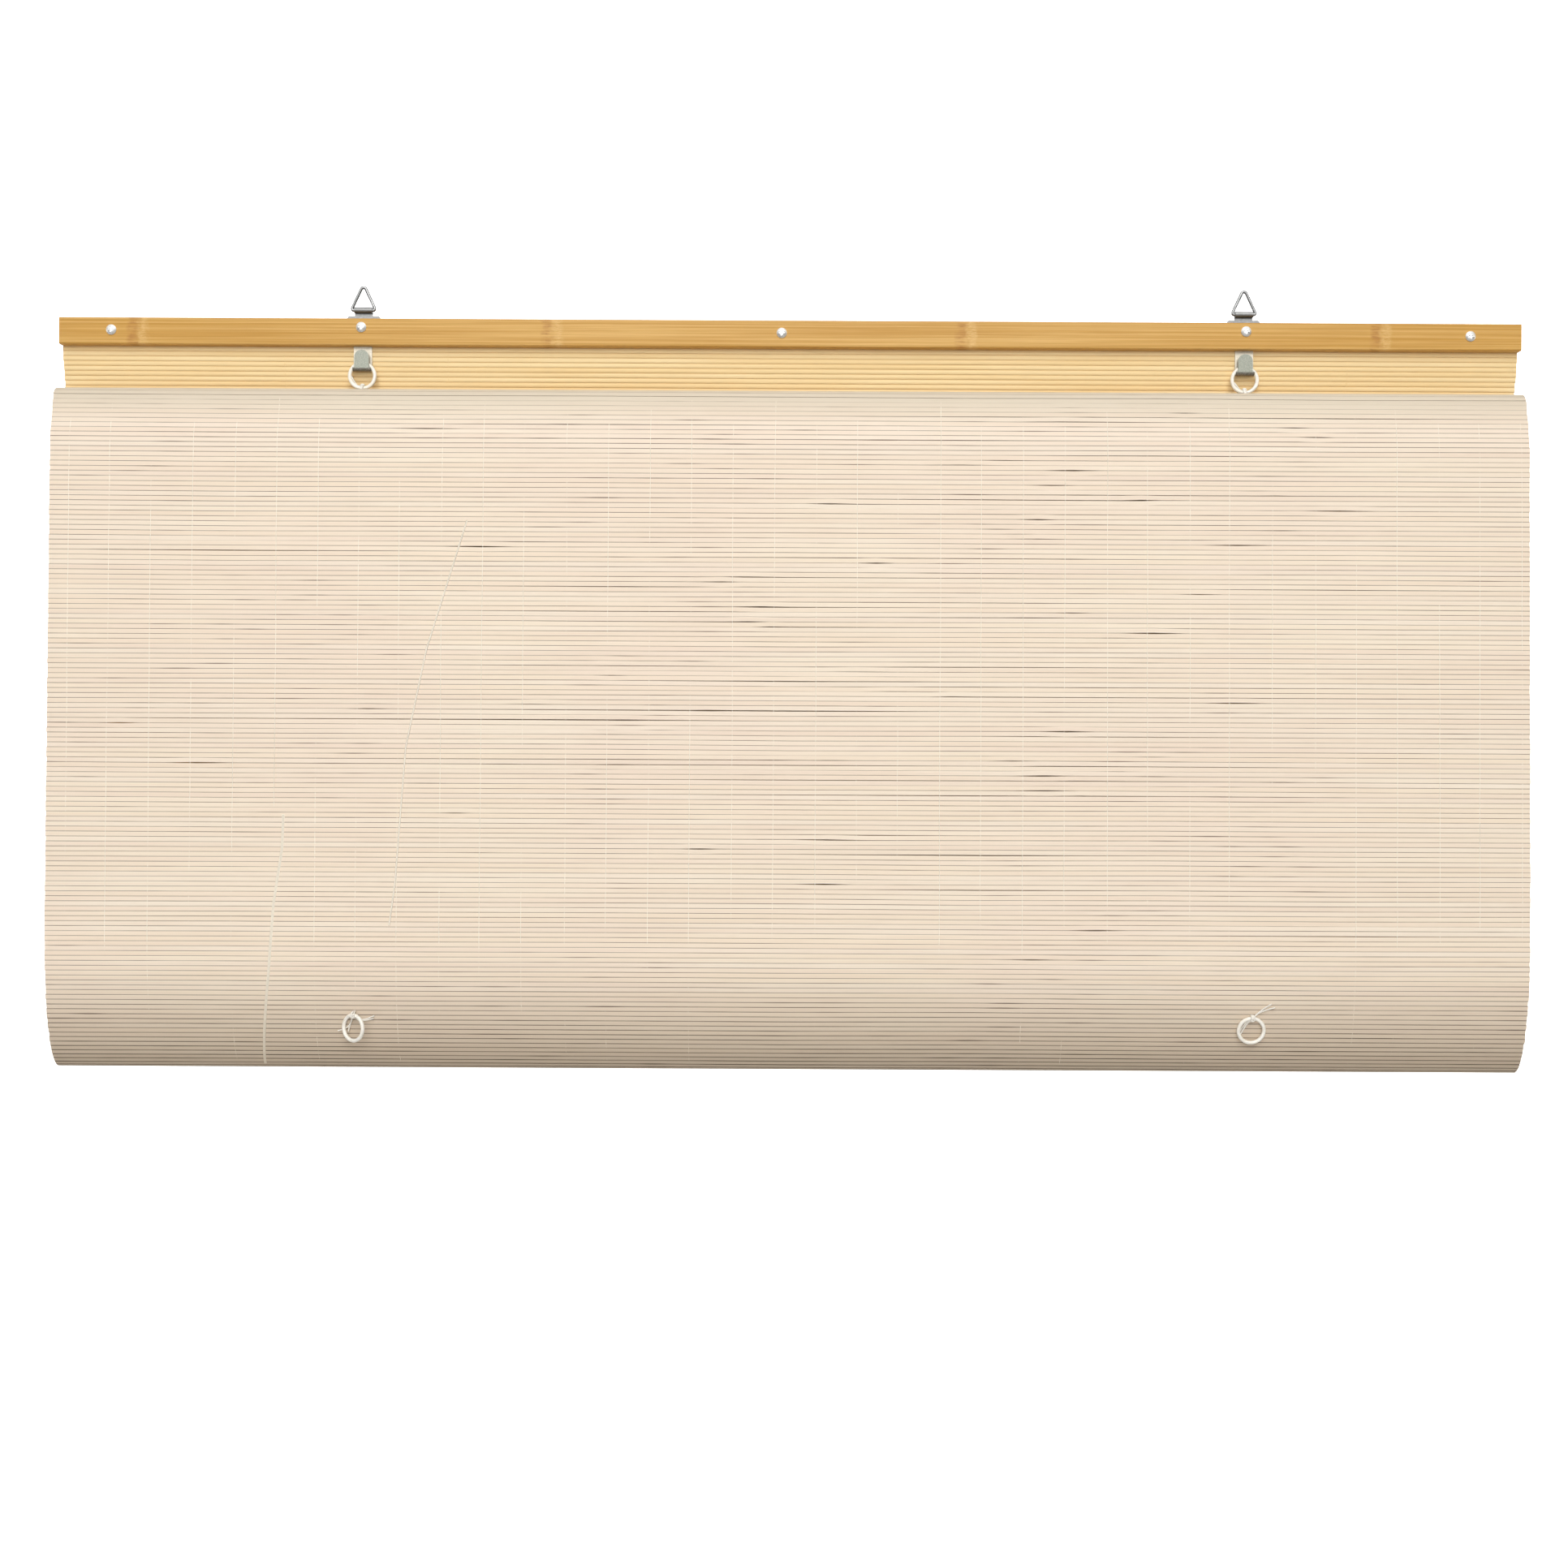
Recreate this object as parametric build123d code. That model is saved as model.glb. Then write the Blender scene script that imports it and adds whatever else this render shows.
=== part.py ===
from build123d import *
import math
import os

os.makedirs("parts", exist_ok=True)

# Bamboo blind folded up on its ring hooks. Millimetres, +X along the rail,
# -Y towards the room, +Z up, origin in the middle of the rail's back face.

# Head rail
rail_length = 1200.0
rail_height = 22.0
rear_batten_depth = 5.0
front_batten_depth = 7.0
batten_edge_radius = 1.2

# Slat mat
mat_end_inset = 1.0
mat_thickness = 1.6
slat_pitch = 4.0
slat_count = 400
slat_groove_depth = 0.36
slat_flat_shares = (0.2, 0.8)
mat_top_inset = 2.0

# Course of the folded mat: behind the loop, round its bottom, up the front, over the top
rear_bend_drop = 8.0
rear_bend_radius = 70.0
rear_bulge_back = 12.0
rear_bulge_drop = 99.0
rear_bulge_radius = 300.0
loop_bottom_drop = 592.7
loop_bottom_y = -6.0
loop_rear_height = 40.0
loop_front_reach = 29.8
loop_front_height = 105.0
front_straight_rise = 28.0
front_sweep_radius = 500.0
front_shoulder_y = -30.4
front_shoulder_drop = 81.0
front_shoulder_radius = 60.0
fold_lean_angle = 10.0
fold_radius = 9.0
fold_flat = 0.5
fold_crest_drop = 37.6

# Slits between slats that have drifted apart
slit_count = 24
slit_height = 0.5
slit_min_length = 22.0
slit_extra_length = 44.0
slit_first_slat = 178
slit_slat_step = 61
slit_slat_span = 108
slit_x_shares = (0.618, 0.382)
slit_x_span_share = 0.92

# Bottom lath on the free end
lath_height = 20.0
lath_depth = 8.0
lath_edge_radius = 1.5
lath_groove_depth = 12.0

# Screws through the rail
left_screw_inset = 43.0
middle_screw_x = -7.0
right_screw_inset = 42.0
screw_z_places = (0.5, 3.5, 0.5, 3.5, 0.5)
screw_head_diameter = 8.4
screw_head_height = 2.6
screw_head_rim = 0.7
screw_shank_diameter = 4.0
screw_tip_cover = 1.2
screw_tip_length = 2.0
screw_hole_clearance = 0.05
recess_length = 4.6
recess_width = 1.2
recess_depth = 1.4

# Hangers
left_hanger_inset = 248.0
right_hanger_inset = 226.0
plate_thickness = 1.0
plate_width = 27.0
plate_foot_z = -5.0
plate_shoulder_rise = 4.0
plate_corner_radius = 2.0
tab_width = 14.8
eye_rise = 8.3
eye_clearance = 0.05
eye_seam = 0.6
pocket_clearance = 0.1
triangle_wire = 2.6
triangle_base = 20.2
triangle_height = 21.8
triangle_apex_radius = 2.2
triangle_corner_radius = 1.4

# Ring hooks
hook_thickness = 1.0
hook_width = 15.0
hook_top_z = 8.0
hook_drop = 20.8
hook_bend_radius = 1.8
tongue_width = 12.0
tongue_gap = 3.6
tongue_end_radius = 5.9

# Rings and their thread ties
ring_outer = 23.6
ring_wire = 3.0
ring_seat_gap = 0.02
thread_diameter = 0.8
thread_hole = 1.4
tie_clearance = 0.75
tie_back_gap = 0.25
tie_corner_radius = 0.6
knot_diameter = 2.2
drop_tie_shift = 2.0
drop_tie_rise = 56.0
drop_ring_stand_offs = (5.0, 2.2)
drop_ring_yaws = (-30.0, 0.0)
drop_ring_leans = (0.0, 12.0)
tie_names = ("left", "right")

# Places that follow from the sizes above
rail_end = rail_length / 2
mat_width = rail_length - 2 * mat_end_inset
left_hanger_x = left_hanger_inset - rail_end
right_hanger_x = rail_end - right_hanger_inset
hanger_x_places = (left_hanger_x, right_hanger_x)
left_screw_x = left_screw_inset - rail_end
right_screw_x = rail_end - right_screw_inset
screw_x_places = (left_screw_x, left_hanger_x, middle_screw_x, right_hanger_x, right_screw_x)
drop_tie_x_places = tuple(x + drop_tie_shift for x in hanger_x_places)
rail_top = rail_height / 2
rail_bottom = -rail_height / 2
mat_y = -rear_batten_depth - mat_thickness / 2
clamp_y = -rear_batten_depth - mat_thickness
face_y = clamp_y - front_batten_depth
ring_radius = (ring_outer - ring_wire) / 2


def save(shape, name):
    shape.label = name
    export_step(shape, f"parts/{name}.step")


def span_x(profile, width, middle=0.0):
    """A solid with a profile in the YZ plane, centred on one place along the rail."""
    return Pos(X=middle) * extrude(Plane.YZ * profile, amount=width / 2, both=True)


def block(x_size, y_range, z_range, middle=0.0):
    y_low, y_high = y_range
    z_low, z_high = z_range
    place = Pos(middle, (y_low + y_high) / 2, (z_low + z_high) / 2)
    return place * Box(x_size, y_high - y_low, z_high - z_low)


def rod_y(radius, y_range, x, z):
    """A round rod along Y."""
    y_low, y_high = y_range
    place = Pos(x, (y_low + y_high) / 2, z) * Rot(X=90)
    return place * Cylinder(radius, y_high - y_low)


def bent_wire(course, diameter):
    start = Plane(origin=course @ 0, z_dir=course % 0)
    return sweep(start * Circle(diameter / 2), path=course)


def screw_rods(radius, y_range):
    return [rod_y(radius, y_range, x, z) for x, z in zip(screw_x_places, screw_z_places)]


def mat_course():
    """Middle line of the folded mat in the YZ plane, from the rail to the free end."""
    low_z = rail_bottom - loop_bottom_drop
    rear_start = low_z + loop_rear_height
    front_start = low_z + loop_front_height
    front_y = loop_bottom_y - loop_front_reach
    rear_reach = rear_bulge_back - loop_bottom_y
    rear = FilletPolyline(
        (mat_y, rail_top - mat_top_inset),
        (mat_y, rail_bottom - rear_bend_drop),
        (rear_bulge_back, rail_bottom - rear_bulge_drop),
        (rear_bulge_back, rear_start),
        radius=(rear_bend_radius, rear_bulge_radius),
    )
    quarter = math.pi / 2
    arc_rear = EllipticalCenterArc(
        (loop_bottom_y, rear_start), rear_reach, loop_rear_height, arc_size=-math.degrees(quarter)
    )
    arc_front = EllipticalCenterArc(
        (loop_bottom_y, front_start),
        loop_front_reach,
        loop_front_height,
        start_angle=math.degrees(3 * quarter),
        arc_size=-math.degrees(quarter),
    )
    shoulder_z = rail_bottom - front_shoulder_drop
    crest_z = rail_bottom - fold_crest_drop
    lean = math.radians(fold_lean_angle)
    crest_front_y = front_shoulder_y + (crest_z - shoulder_z) * math.tan(lean)
    turn_length = fold_radius * math.tan((quarter - lean) / 2)
    tail_y = crest_front_y + turn_length + fold_flat + fold_radius
    front = FilletPolyline(
        (front_y, front_start),
        (front_y, front_start + front_straight_rise),
        (front_shoulder_y, shoulder_z),
        (crest_front_y, crest_z),
        (tail_y, crest_z),
        (tail_y, crest_z - 2 * fold_radius),
        radius=(front_sweep_radius, front_shoulder_radius, fold_radius, fold_radius),
    )
    pieces = [*rear.edges(), arc_rear, arc_front, *front.edges()]
    used = sum(piece.length for piece in pieces)
    tail_start = (tail_y, crest_z - 2 * fold_radius)
    tail_end = (tail_y, crest_z - 2 * fold_radius - (slat_count * slat_pitch - used))
    lengths = {
        "to_bottom": sum(piece.length for piece in rear.edges()) + arc_rear.length,
        "fold_centre": (tail_y - fold_radius, crest_z - fold_radius),
        "tail_end": tail_end,
    }
    return Wire([*pieces, *Line(tail_start, tail_end).edges()]), lengths


def course_frame(course, distance):
    """Point, tangent and outward normal of the mat's middle line."""
    point = course.position_at(distance, position_mode=PositionMode.LENGTH)
    tangent = course.tangent_at(distance, position_mode=PositionMode.LENGTH)
    return point, tangent, Vector(-tangent.Y, tangent.X)


course, course_marks = mat_course()


def mat_outline():
    """Ridged outline of the mat, one ridge on each side for each slat."""
    outer = []
    inner = []
    crest = mat_thickness / 2
    groove = crest - slat_groove_depth
    for slat in range(slat_count):
        for share, height in ((0.0, groove), *((flat_share, crest) for flat_share in slat_flat_shares)):
            point, _, normal = course_frame(course, (slat + share) * slat_pitch)
            outer.append(point + normal * height)
            inner.append(point - normal * height)
    point, _, normal = course_frame(course, slat_count * slat_pitch)
    outer.append(point + normal * groove)
    inner.append(point - normal * groove)
    return make_face(Polyline(*outer, *reversed(inner), close=True))


def slits():
    """Thin gaps, spread by a fixed rule over the front of the loop."""
    boxes = []
    x_step_share, length_step_share = slit_x_shares
    for number in range(slit_count):
        slat = slit_first_slat + (number * slit_slat_step) % slit_slat_span
        point, tangent, _ = course_frame(course, slat * slat_pitch)
        x_share = (number * x_step_share) % 1 - 1 / 2
        length = slit_min_length + slit_extra_length * ((number * length_step_share) % 1)
        turn = math.degrees(math.atan2(tangent.Y, tangent.X))
        place = Pos(x_share * slit_x_span_share * mat_width, point.X, point.Y) * Rot(X=turn)
        boxes.append(place * Box(length, slit_height, 2 * mat_thickness))
    return boxes


class Tie:
    """A thread loop round a ring's wire and through two holes in the mat."""

    def __init__(self, x, foot, normal, stand_off):
        self.x = x
        self.foot = foot
        self.normal = normal
        self.reach = stand_off
        self.half_width = ring_wire / 2 + tie_clearance + thread_diameter / 2
        self.plane = Plane(
            origin=(x, foot.X, foot.Y), x_dir=(0, -normal.Y, normal.X), z_dir=(1, 0, 0)
        )

    def ring_place(self):
        return self.plane.from_local_coords(Vector(0, -self.reach, 0))

    def loop(self):
        back = mat_thickness / 2 + thread_diameter / 2 + tie_back_gap
        side = self.half_width
        legs = FilletPolyline(
            (-side, -self.reach), (-side, back), (side, back), (side, -self.reach), radius=tie_corner_radius
        )
        end = ThreePointArc((side, -self.reach), (0, -self.reach - side), (-side, -self.reach))
        outline = Wire([*legs.edges(), *end.edges()])
        thread = bent_wire(self.plane * outline, thread_diameter)
        knot_y = -self.reach - (ring_wire + knot_diameter) / 2 - tie_clearance
        knot = self.plane * (Pos(Y=knot_y) * Sphere(knot_diameter / 2))
        return thread + knot

    def holes(self):
        depth = 2 * mat_thickness + fold_radius / 2
        return [
            self.plane * (Pos(X=side) * Box(thread_hole, depth, thread_hole))
            for side in (-self.half_width, self.half_width)
        ]


# Hooks come first, because they say where the upper rings hang
hook_front_y = clamp_y - hook_thickness
trough_y = hook_front_y - hook_bend_radius
trough_z = rail_bottom - hook_drop + hook_thickness + hook_bend_radius
seat_z = trough_z - hook_bend_radius
inner_radius = ring_outer / 2 - ring_wire
ring_sag = math.sqrt(inner_radius**2 - (hook_width / 2) ** 2)
hooked_ring_z = seat_z - ring_sag + ring_seat_gap


def hooked_tie(x):
    centre = Vector(*course_marks["fold_centre"])
    wire_place = Vector(trough_y, hooked_ring_z - ring_radius)
    outward = wire_place - centre
    normal = outward.normalized()
    return Tie(x, centre + normal * fold_radius, normal, outward.length - fold_radius)


def drop_tie(x, stand_off):
    point, _, normal = course_frame(course, course_marks["to_bottom"] + drop_tie_rise)
    return Tie(x, point, normal, mat_thickness / 2 + stand_off)


hooked_ties = [hooked_tie(x) for x in hanger_x_places]
drop_ties = [drop_tie(x, stand_off) for x, stand_off in zip(drop_tie_x_places, drop_ring_stand_offs)]


def front_batten():
    middle_y = (face_y + clamp_y) / 2
    profile = Pos(middle_y, 0) * Rectangle(front_batten_depth, rail_height)
    front_corners = profile.vertices().sort_by(Axis.X)[:2]
    solid = span_x(fillet(front_corners, batten_edge_radius), rail_length)
    radius = screw_shank_diameter / 2 + screw_hole_clearance
    cutters = screw_rods(radius, (face_y - front_batten_depth, 0))
    for x in hanger_x_places:
        width = hook_width + 2 * pocket_clearance
        top = hook_top_z + pocket_clearance
        cutters.append(block(width, (hook_front_y, 0), (rail_bottom - rail_height, top), x))
    return solid - cutters


def rear_batten():
    middle_y = -rear_batten_depth / 2
    profile = Pos(middle_y, 0) * Rectangle(rear_batten_depth, rail_height)
    solid = span_x(profile, rail_length)
    radius = screw_shank_diameter / 2 + screw_hole_clearance
    cutters = screw_rods(radius, (-2 * rear_batten_depth, -screw_tip_cover))
    for x in hanger_x_places:
        width = plate_width + 2 * pocket_clearance
        depth = (-2 * rear_batten_depth, plate_thickness - rear_batten_depth)
        cutters.append(block(width, depth, (plate_foot_z - pocket_clearance, rail_height), x))
    return solid - cutters


def slat_mat():
    solid = span_x(mat_outline(), mat_width)
    radius = screw_shank_diameter / 2 + screw_hole_clearance
    cutters = screw_rods(radius, (-2 * rear_batten_depth - mat_thickness, 0))
    for tie in hooked_ties + drop_ties:
        cutters += tie.holes()
    return solid - (cutters + slits())


def bottom_lath():
    end_y, end_z = course_marks["tail_end"]
    middle_z = end_z + lath_groove_depth - lath_height / 2
    profile = Pos(end_y, middle_z) * RectangleRounded(lath_depth, lath_height, lath_edge_radius)
    groove = Pos(end_y, end_z + lath_groove_depth) * Rectangle(mat_thickness, 2 * lath_groove_depth)
    return span_x(profile - groove, mat_width)


def batten_screw(x, z):
    """A pan-head screw turned from one half profile, with a cross recess."""
    head_radius = screw_head_diameter / 2
    shank_radius = screw_shank_diameter / 2
    crown_y = face_y - screw_head_height
    rim_y = face_y - screw_head_rim
    rise = rim_y - crown_y
    dome_radius = (head_radius**2 + rise**2) / (2 * rise)
    half_turn = math.asin(head_radius / dome_radius) / 2
    dome_middle = (
        dome_radius * math.sin(half_turn),
        crown_y + dome_radius * (1 - math.cos(half_turn)),
    )
    tip_y = -screw_tip_cover
    sides = Polyline(
        (0, crown_y),
        (0, tip_y),
        (shank_radius, tip_y - screw_tip_length),
        (shank_radius, face_y),
        (head_radius, face_y),
        (head_radius, rim_y),
    )
    dome = ThreePointArc((head_radius, rim_y), dome_middle, (0, crown_y))
    turned = revolve(make_face([*sides.edges(), *dome.edges()]), axis=Axis.Y)
    recess_y = (crown_y - recess_depth, crown_y + recess_depth)
    long_half = recess_length / 2
    short_half = recess_width / 2
    recess = block(recess_length, recess_y, (-short_half, short_half))
    recess += block(recess_width, recess_y, (-long_half, long_half))
    return Pos(X=x, Z=z) * (turned - recess)


eye_z = rail_top + eye_rise
eye_radius = triangle_wire / 2 + eye_clearance
plate_front_y = -rear_batten_depth
eye_y = plate_front_y - eye_radius


def hanger_plate(x, screw_z):
    foot = plate_foot_z
    shoulder = rail_top + plate_shoulder_rise
    plate_back = plate_front_y + plate_thickness
    plate = Pos((plate_front_y + plate_back) / 2, (foot + shoulder) / 2)
    plate = span_x(plate * Rectangle(plate_thickness, shoulder - foot), plate_width)
    corners = plate.edges().filter_by(Axis.Y)
    plate = fillet(corners, plate_corner_radius)
    roll = Pos(eye_y, eye_z) * (Circle(eye_radius + plate_thickness) - Circle(eye_radius))
    outer = eye_radius + plate_thickness
    seam = Pos(eye_y, eye_z - outer / 2) * Rectangle(2 * eye_radius, outer)
    seam = seam & (Pos(eye_y + eye_radius - eye_seam / 2, eye_z - outer / 2) * Rectangle(eye_seam, outer))
    neck_z = shoulder - plate_corner_radius
    neck = Pos((plate_front_y + plate_back) / 2, (neck_z + eye_z) / 2)
    neck = neck * Rectangle(plate_thickness, eye_z - neck_z)
    solid = span_x(roll - seam + neck, tab_width)
    hole = rod_y(screw_shank_diameter / 2 + screw_hole_clearance, (eye_y - eye_radius, 0), 0, screw_z)
    return Pos(X=x) * (plate + solid - hole)


def hanger_triangle(x):
    half = triangle_base / 2
    course_2d = FilletPolyline(
        (0, 0),
        (half, 0),
        (0, triangle_height),
        (-half, 0),
        (0, 0),
        radius=(0, triangle_corner_radius, triangle_apex_radius, triangle_corner_radius),
        close=True,
    )
    plane = Plane(origin=(x, eye_y, eye_z), x_dir=(1, 0, 0), z_dir=(0, -1, 0))
    return bent_wire(Wire((plane * course_2d).edges()), triangle_wire)


def ring_hook(x, screw_z):
    strip_z = (hook_top_z + trough_z) / 2
    strip = Pos(clamp_y - hook_thickness / 2, strip_z) * Rectangle(hook_thickness, hook_top_z - trough_z)
    bend = Circle(hook_bend_radius + hook_thickness) - Circle(hook_bend_radius)
    reach = hook_bend_radius + hook_thickness
    bend = bend & (Pos(Y=-reach / 2) * Rectangle(2 * reach, reach))
    solid = span_x(strip + Pos(trough_y, trough_z) * bend, hook_width)
    tongue_top = rail_bottom - tongue_gap
    length = tongue_top - trough_z
    tongue = Pos(0, trough_z + length / 2) * Rectangle(tongue_width, length)
    tongue = fillet(tongue.vertices().group_by(Axis.Y)[-1], tongue_end_radius)
    tongue_plane = Plane(origin=(0, trough_y - hook_bend_radius, 0), x_dir=(1, 0, 0), z_dir=(0, -1, 0))
    solid += extrude(tongue_plane * tongue, amount=hook_thickness)
    hole = rod_y(screw_shank_diameter / 2 + screw_hole_clearance, (face_y, 0), 0, screw_z)
    return Pos(X=x) * (solid - hole)


def ring(place, yaw=0.0, lean=0.0):
    """A round ring hung from the middle of its wire at the place given."""
    hung = Pos(Z=-ring_radius) * Rot(X=90) * Torus(ring_radius, ring_wire / 2)
    return Pos(*place) * Rot(Z=yaw) * Rot(X=lean) * hung


save(front_batten(), "front_batten")
save(rear_batten(), "rear_batten")
save(slat_mat(), "slat_mat")
save(bottom_lath(), "bottom_lath")
screws = [batten_screw(x, z) for x, z in zip(screw_x_places, screw_z_places)]
save(Compound(children=screws), "batten_screws")
for name, hanger_x in zip(tie_names, hanger_x_places):
    hanger_screw_z = screw_z_places[screw_x_places.index(hanger_x)]
    save(hanger_plate(hanger_x, hanger_screw_z), f"hanger_plate_{name}")
    save(hanger_triangle(hanger_x), f"hanger_triangle_{name}")
    save(ring_hook(hanger_x, hanger_screw_z), f"ring_hook_{name}")
    hung_at = (hanger_x, trough_y, hooked_ring_z + ring_radius)
    save(ring(hung_at), f"hooked_ring_{name}")
for name, tie in zip(tie_names, hooked_ties):
    save(tie.loop(), f"hooked_tie_{name}")
for name, tie, yaw, lean in zip(tie_names, drop_ties, drop_ring_yaws, drop_ring_leans):
    save(tie.loop(), f"drop_tie_{name}")
    save(ring(tie.ring_place(), yaw, lean), f"drop_ring_{name}")
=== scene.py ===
import math

import bmesh
import bpy
import numpy as np
from mathutils import Matrix, Vector


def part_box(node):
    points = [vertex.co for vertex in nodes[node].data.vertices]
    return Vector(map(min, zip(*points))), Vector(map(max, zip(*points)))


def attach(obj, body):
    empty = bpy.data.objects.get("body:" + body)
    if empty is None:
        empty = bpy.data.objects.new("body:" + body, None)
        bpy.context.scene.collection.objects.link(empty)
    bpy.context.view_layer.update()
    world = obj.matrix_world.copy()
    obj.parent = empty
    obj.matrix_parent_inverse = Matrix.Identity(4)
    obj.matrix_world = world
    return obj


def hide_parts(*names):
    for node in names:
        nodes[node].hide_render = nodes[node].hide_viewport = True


# Bamboo blind folded up on its ring hooks. Metres, unless a comment says millimetres.

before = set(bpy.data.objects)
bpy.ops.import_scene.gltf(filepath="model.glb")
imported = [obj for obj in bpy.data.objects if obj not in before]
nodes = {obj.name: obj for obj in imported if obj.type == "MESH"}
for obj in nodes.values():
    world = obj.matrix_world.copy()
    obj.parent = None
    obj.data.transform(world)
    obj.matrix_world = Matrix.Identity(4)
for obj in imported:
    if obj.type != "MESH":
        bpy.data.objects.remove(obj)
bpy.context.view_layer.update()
SEED = 11
chance = np.random.default_rng(SEED)
MM = 0.001

# Slats of the mat
MAT_WIDTH = 1.198
MAT_THICKNESS = 0.0016
SLAT_PITCH = 0.004
SLAT_COUNT = 400
SLAT_LENGTH = 1.199
SLAT_WIDTH = 0.00404
SLAT_THICKNESS = 0.00146
RIND_ROUNDING = 0.00036
PITH_CROWN = 0.00017
SLAT_CUTS = 7
SMOOTH_ANGLE = math.radians(50)
FIRST_FRONT_SLAT = 152
FIRST_TAIL_SLAT = 300

# How slats bow along the mat and twist, and how they vary
BOW_HEIGHT = 0.00020
BOW_LENGTHS = (0.9, 0.47, 0.31, 0.26)
STRAIGHT_SLATS = 30
STRAIGHT_BOW_SHARE = 0.12
BOW_GROWTH = 0.03
TWIST_HEIGHT = 0.010
TWIST_LENGTHS = (0.7, 0.4, 0.28, 0.33)
TWIST_NUMBER_SCALE = 3.1
TWIST_SPREAD = 0.018
TWIST_LIMIT = 0.03
WAVE_TURN = 6.28
WAVE_PHASE_SHARES = (1, 0.035, 1)
WAVE_FADE = 0.043
END_PLAY = 0.0003
WIDTH_SHARES = (0.985, 1.01)
THICKNESS_SHARES = (0.9, 1.0)

# Slits between slats: rows of slats, place along the rail, spread and number in each patch
SLIT_PATCHES = (
    ((250, 294), 0.205, 0.03, 12),
    ((245, 294), 0.385, 0.04, 12),
    ((215, 262), -0.01, 0.06, 6),
    ((215, 250), 0.17, 0.06, 6),
    ((180, 296), 0.0, 0.36, 30),
)
SLIT_HALF_LENGTHS = (0.015, 0.035)
SLIT_HALF_HEIGHTS = (0.0002, 0.0004)
SLIT_EDGE_CUTS = 2

# Course of the folded mat in the YZ plane, in millimetres
CLAMP_Y = -5.8
CLAMP_TOP = 9.0
REAR_BEND_Z = -19.0
REAR_BEND_RADIUS = 70.0
BULGE_Y = 12.0
BULGE_Z = -110.0
BULGE_RADIUS = 300.0
LOOP_Y = -6.0
LOOP_BOTTOM = -603.7
LOOP_REAR_HEIGHT = 40.0
LOOP_FRONT_HEIGHT = 105.0
FRONT_Y = -35.8
FRONT_STRAIGHT_RISE = 28.0
FRONT_SWEEP_RADIUS = 500.0
SHOULDER_Y = -30.4
SHOULDER_Z = -92.0
SHOULDER_RADIUS = 60.0
FOLD_LEAN = math.radians(10.0)
FOLD_RADIUS = 9.0
FOLD_FLAT = 0.5
FOLD_CREST_Z = -48.6
TAIL_LOW_Z = -600.0

# Steps that the course is drawn and sampled with
CORNER_STEPS = 28
QUARTER_STEPS = 60
COURSE_STEP = 0.0005
SAME_PLACE = 1e-7
FRONT_SAMPLES = 900

# Heights that part the low curve, the pale tape and the crest from the rest of the mat
LOW_CURVE = -0.5
TAPE_TOP = -0.392
CREST = -0.075

# Warp threads
WARP_SPACING = 0.03365
WARP_FIRST = -0.5843
WARP_COUNT = 36
WARP_RADIUS = 0.00024
WARP_PLAY = 0.0012
WARP_DRIFT = 0.00004
WARP_SWAYS = (0.00026, 0.00078)
WARP_SWAY_STEP = 20
WARP_UNEVENNESS = 0.00026
WARP_SINK = 0.00028
WARP_CLAMPED_SLATS = 6
PALE_COLUMN = 5
PALE_COLUMN_LIFT = 0.00022

# Loose strands on the face: heights, and places along the rail at those heights
TAPE_HEIGHTS = (-0.600, -0.523, -0.467, -0.424, TAPE_TOP)
TAPE_PLACES = (-0.4272, -0.4187, -0.4147, -0.4083, -0.4073)
TAPE_SPACING = 0.0007
TAPE_RADIUS = 0.00036
STRAY_HEIGHTS = (-0.4853, -0.4525, -0.3409, -0.2621, -0.157)
STRAY_PLACES = (-0.3214, -0.3170, -0.3090, -0.2930, -0.2608)
STRAY_LIFT = 0.0002
STRAY_RADIUS = 0.0007
STRAND_STEP = 0.004
STRAND_CURVE_STEPS = 5
STRAND_CURVE_ORDER = 3

# Ties of the rings
RING_WIRE = 0.003
TIE_RADIUS = 0.0025
TIE_THREAD = 0.00055
TIE_TURNS = 3
TURN_SPACING = 0.0009
TURN_LEAN = 0.0004
TURN_STEPS = 7
FOOT_SHIFT_SHARE = 0.5
FOOT_SPREAD_SHARE = 0.7
KNOT_STAND_OFF = 0.0004
KNOT_HEIGHT = 0.0013
KNOT_WIDTH = 0.0015
KNOT_DEPTH = 0.0005
KNOT_WIDTH_TURNS = 1.5
KNOT_DEPTH_TURNS = 2.5
KNOT_STEPS = 22

# Tails of each tie, as places across, above and in front of the middle of its ring, in millimetres
TIE_TAILS = {
    "drop_tie_left": (
        ((0.5, 7.5, 1.2), (4.5, 6.0, 0.8), (9.0, 6.4, 0.8), (12.5, 8.2, 0.9), (16.1, 9.5, 1.4)),
        ((0.2, 7.0, 1.2), (4.5, 5.6, 0.8), (9.0, 5.6, 0.8), (12.0, 6.4, 0.9), (15.4, 6.9, 1.2)),
        ((-2.4, 5.5, 1.4), (-4.6, 1.0, 0.9), (-8.6, -1.5, 0.8), (-14.1, -3.0, 1.2)),
        ((-1.8, 6.5, 1.6), (-4.0, 2.0, 1.2), (-5.6, -3.6, 1.0)),
    ),
    "drop_tie_right": (
        ((2.0, 12.4, 2.4), (4.6, 14.4, 1.2), (10.0, 18.4, 0.9), (15.7, 22.0, 1.4)),
        ((2.2, 12.0, 2.4), (4.9, 14.0, 1.2), (11.0, 17.0, 0.9), (18.4, 19.0, 1.4)),
        ((-2.0, 7.8, 1.8), (-4.5, 4.5, 1.2), (-8.5, -3.9, 0.9)),
        ((-2.8, 8.4, 1.8), (-5.5, 5.5, 1.2), (-9.6, -2.0, 0.9)),
    ),
    "hooked_tie_left": (((-2.5, -9.0, 0.0), (-6.0, -6.4, 0.0), (-10.4, 2.5, 0.0)),),
    "hooked_tie_right": (((-2.0, -9.2, 0.0), (-4.5, -7.6, 0.0), (-8.6, -2.0, 0.0)),),
}

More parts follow.
